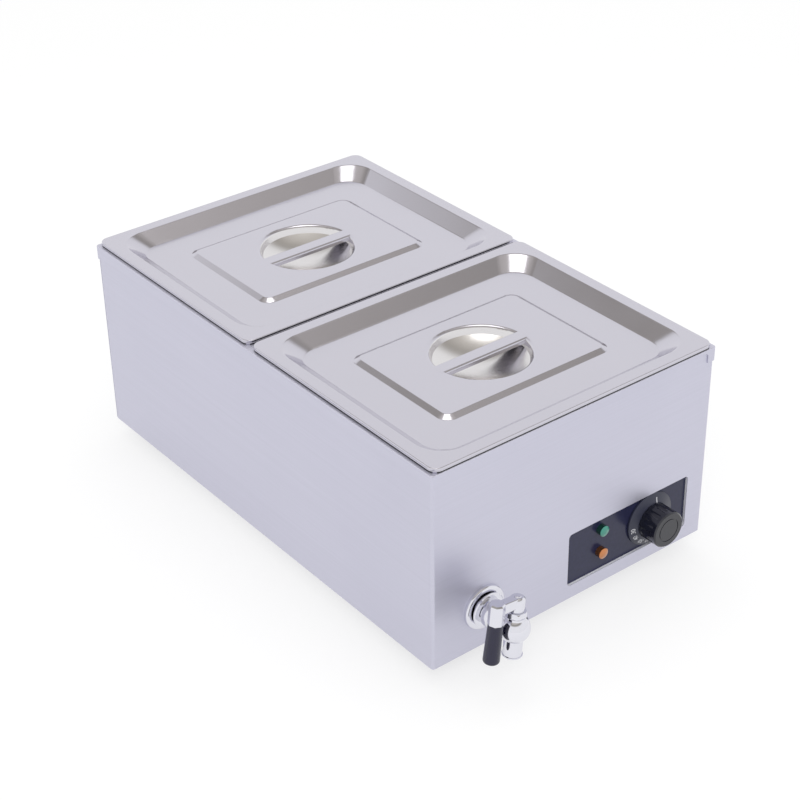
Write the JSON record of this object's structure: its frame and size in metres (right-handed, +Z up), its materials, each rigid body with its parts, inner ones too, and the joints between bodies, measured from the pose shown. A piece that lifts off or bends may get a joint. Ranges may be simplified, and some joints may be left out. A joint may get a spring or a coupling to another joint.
{
  "type": "bain-marie",
  "caption": "Countertop wet-heat food warmer: a stainless water bath with lidded half-size pans, a thermostat knob and a front drain tap.",
  "frame": {"origin": "on the resting plane, under the middle of the casing", "axes": "+Z up; -Y is the front with the controls and the tap; +X to the right seen from the front"},
  "size_m": [0.332, 0.6082, 0.2296],
  "materials": {
    "stainless": "brushed stainless sheet",
    "polished_stainless": "bright pressed stainless sheet",
    "satin_stainless": "satin stainless",
    "chrome": "polished chrome plate",
    "brass": "turned brass",
    "copper": "drawn copper tube",
    "element_sheath": "heat-darkened sheath",
    "seal_rubber": "black rubber",
    "control_plastic": "dark slate gloss",
    "knob_plastic": "blue-black gloss",
    "green_lens": "translucent green",
    "amber_lens": "translucent amber",
    "housing_plastic": "off-white moulding",
    "gland_plastic": "black moulding"
  },
  "bodies": {
    "body": {"casing_wrap": "stainless", "back_panel": "stainless", "top_frame": "stainless", "cross_bar": "stainless", "bar_ledges": "stainless", "base_plate": "satin_stainless", "water_tank": "satin_stainless", "base_screws": "satin_stainless", "back_screws": "satin_stainless", "thermostat_screws": "satin_stainless", "foot_bolts": "satin_stainless", "foot_nuts": "satin_stainless", "earth_stud": "satin_stainless", "bulb_clips": "satin_stainless", "element_saddles": "satin_stainless", "element_terminals": "satin_stainless", "hose_clips": "satin_stainless", "tap_rose": "chrome", "tap_body": "chrome", "tap_gland_nut": "chrome", "tap_backnut": "brass", "element_fittings": "brass", "element_nuts": "brass", "drain_spigot": "brass", "drain_nut": "brass", "terminal_screws": "brass", "thermostat_capillary": "copper", "thermostat_bulb": "copper", "heating_element": "element_sheath", "element_washers": "seal_rubber", "tap_packing": "seal_rubber", "drain_hose": "seal_rubber", "feet": "seal_rubber", "control_plate": "control_plastic", "green_lens": "green_lens", "amber_lens": "amber_lens", "thermostat_body": "housing_plastic", "lamp_holders": "housing_plastic", "cut_out": "housing_plastic", "terminal_block": "housing_plastic", "cord_gland": "gland_plastic", "cord_gland_nut": "gland_plastic"},
    "front_pan": {"front_pan": "stainless"},
    "rear_pan": {"rear_pan": "stainless"},
    "front_lid": {"front_lid": "polished_stainless", "front_lid_strap": "polished_stainless"},
    "rear_lid": {"rear_lid": "polished_stainless", "rear_lid_strap": "polished_stainless"},
    "knob": {"control_knob": "knob_plastic", "dial_skirt": "knob_plastic", "thermostat_shaft": "satin_stainless"},
    "tap_lever": {"tap_plug": "brass", "tap_lever": "chrome", "lever_grip": "knob_plastic", "lever_screw": "chrome"}
  },
  "joints": [
    {"name": "front_pan_lift", "type": "slide", "parent": "body", "child": "front_pan", "axis": [0, 0, 1], "range_m": [0, 0.13]},
    {"name": "rear_pan_lift", "type": "slide", "parent": "body", "child": "rear_pan", "axis": [0, 0, 1], "range_m": [0, 0.13]},
    {"name": "front_lid_lift", "type": "slide", "parent": "front_pan", "child": "front_lid", "axis": [0, 0, 1], "range_m": [0, 0.08]},
    {"name": "rear_lid_lift", "type": "slide", "parent": "rear_pan", "child": "rear_lid", "axis": [0, 0, 1], "range_m": [0, 0.08]},
    {"name": "thermostat_turn", "type": "hinge", "parent": "body", "child": "knob", "pos_m": [0.096, -0.27, 0.065], "axis": [0, 1, 0], "range_deg": [0, 270]},
    {"name": "tap_lever_turn", "type": "hinge", "parent": "body", "child": "tap_lever", "pos_m": [-0.108, -0.30825, 0.064], "axis": [0.0872, 0, 0.9962], "range_deg": [0, 90]}
  ]
}
